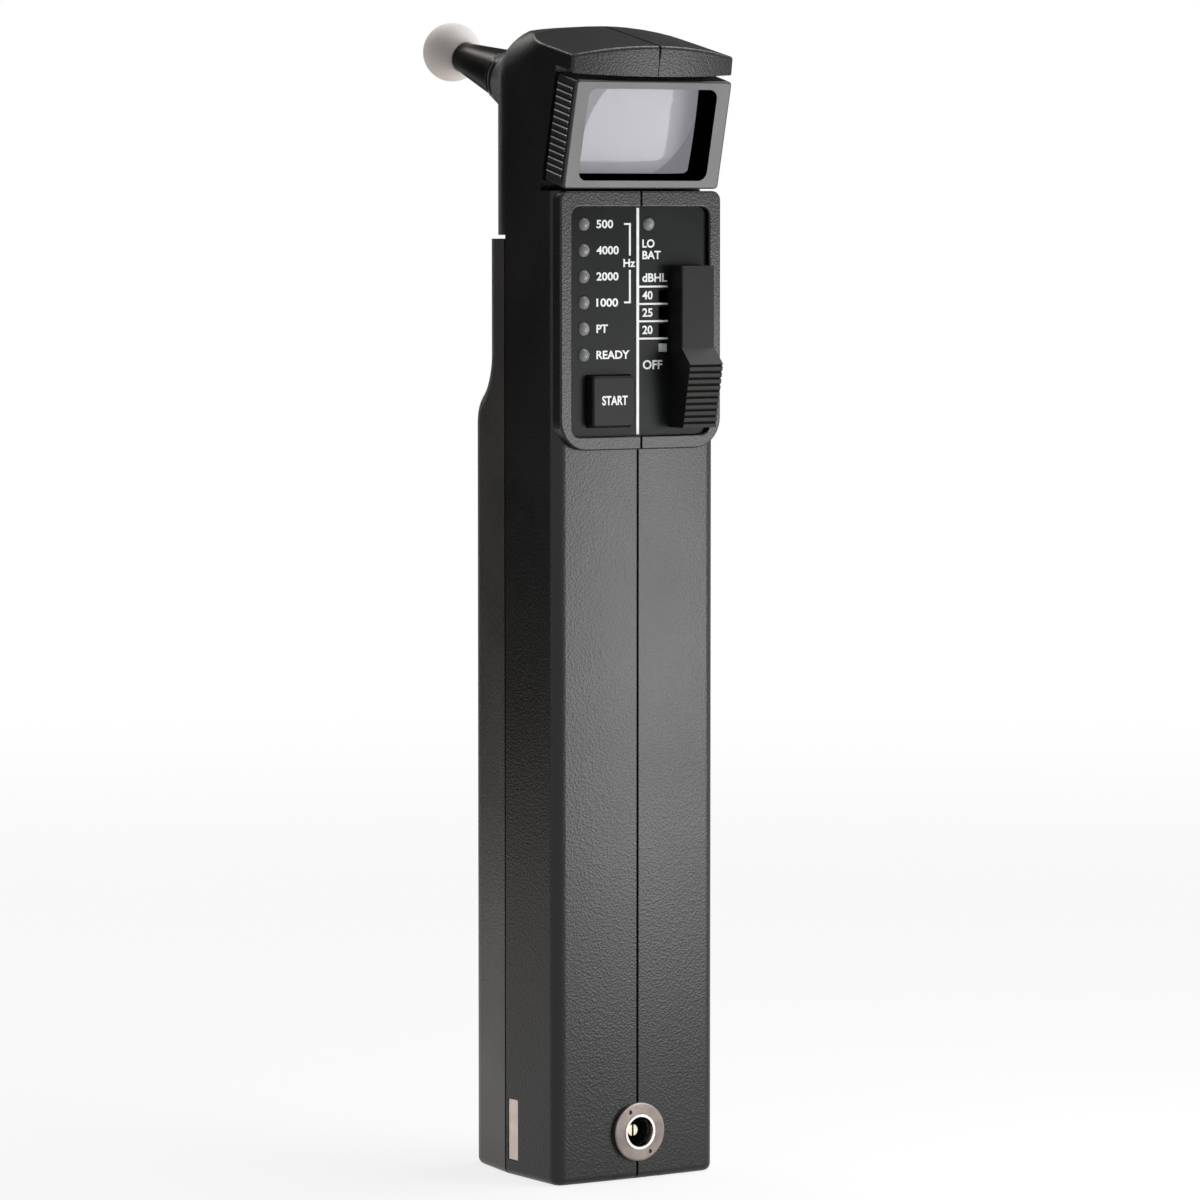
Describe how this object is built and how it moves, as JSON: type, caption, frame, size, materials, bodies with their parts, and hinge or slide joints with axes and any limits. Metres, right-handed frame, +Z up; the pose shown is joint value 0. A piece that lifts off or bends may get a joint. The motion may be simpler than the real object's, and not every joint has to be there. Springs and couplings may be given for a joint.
{
  "type": "audiometer",
  "caption": "Hand-held audiometer: upright handle with a control panel, a magnifying eyepiece under a visor, and a cone with a soft ball tip behind.",
  "frame": {"origin": "centre of the handle's flat base, on the parting plane of the two case halves", "axes": "+Z up the handle, -Y towards the user, who looks along +Y through the eyepiece, +X to the user's right"},
  "size_m": [0.0342, 0.076, 0.2098],
  "materials": {
    "case_plastic": "fine spark texture",
    "cover_plastic": "fine spark texture",
    "label_film": "satin film with pale lettering",
    "control_plastic": "satin",
    "pointer_plastic": "satin",
    "switch_plastic": "matte",
    "eyepiece_plastic": "satin",
    "lens_glass": "polished",
    "lamp_glass": "polished",
    "steel": "plated",
    "soft_rubber": "soft",
    "collar_plastic": "gloss",
    "cone_plastic": "satin",
    "ball_rubber": "soft matte",
    "board_laminate": "solder mask",
    "chip_plastic": "moulded",
    "jack_nut_metal": "turned, satin plated",
    "jack_pin_metal": "plated",
    "contact_metal": "plated, lightly worn",
    "cell_wrap": "shrink film",
    "lamp_green_grey": "diffused",
    "lamp_red": "diffused",
    "lamp_rose_grey": "diffused"
  },
  "bodies": {
    "case": {"housing_left": "case_plastic", "housing_right": "case_plastic", "rear_cover": "cover_plastic", "panel_label": "label_film", "start_switch": "switch_plastic", "level_switch": "switch_plastic", "head_chassis": "eyepiece_plastic", "illumination_lamp": "lamp_glass", "sound_receiver": "steel", "sound_tube": "soft_rubber", "speculum_mount": "collar_plastic", "main_board": "board_laminate", "processor_chip": "chip_plastic", "amplifier_chip": "chip_plastic", "power_jack_body": "jack_nut_metal", "power_jack_nut": "jack_nut_metal", "power_jack_pin": "jack_pin_metal", "charging_contact_left": "contact_metal", "charging_contact_right": "contact_metal", "battery_tray": "switch_plastic", "battery_contacts_low": "contact_metal", "battery_contacts_high": "contact_metal", "board_screws": "steel", "case_screws": "steel", "cover_screws": "steel", "battery_cell_1": "cell_wrap", "battery_cell_2": "cell_wrap", "battery_cell_3": "cell_wrap", "battery_cell_4": "cell_wrap", "lamp_500_hz": "lamp_rose_grey", "lamp_4000_hz": "lamp_rose_grey", "lamp_2000_hz": "lamp_rose_grey", "lamp_1000_hz": "lamp_rose_grey", "lamp_tone": "lamp_rose_grey", "lamp_ready": "lamp_green_grey", "lamp_low_battery": "lamp_red"},
    "start_button": {"start_button": "control_plastic"},
    "level_slider": {"level_slider": "control_plastic", "level_pointer": "pointer_plastic"},
    "eyepiece": {"eyepiece_frame": "eyepiece_plastic", "eyepiece_lens": "lens_glass", "lens_retainer": "eyepiece_plastic"},
    "ear_tip": {"ear_tip_cone": "cone_plastic", "ear_tip_ball": "ball_rubber"}
  },
  "joints": [
    {"name": "start_press", "type": "slide", "parent": "case", "child": "start_button", "axis": [0, 1, 0], "range_m": [0, 0.0008], "stiffness_N_per_m": 1500, "springref_m": -0.0003},
    {"name": "level_slide", "type": "slide", "parent": "case", "child": "level_slider", "axis": [0, 0, 1], "range_m": [0, 0.0093]},
    {"name": "eyepiece_draw", "type": "slide", "parent": "case", "child": "eyepiece", "axis": [0, -0.972, -0.2351], "range_m": [0, 0.004]},
    {"name": "ear_tip_pull", "type": "slide", "parent": "case", "child": "ear_tip", "axis": [0, 0.972, 0.2351], "range_m": [0, 0.02]}
  ]
}
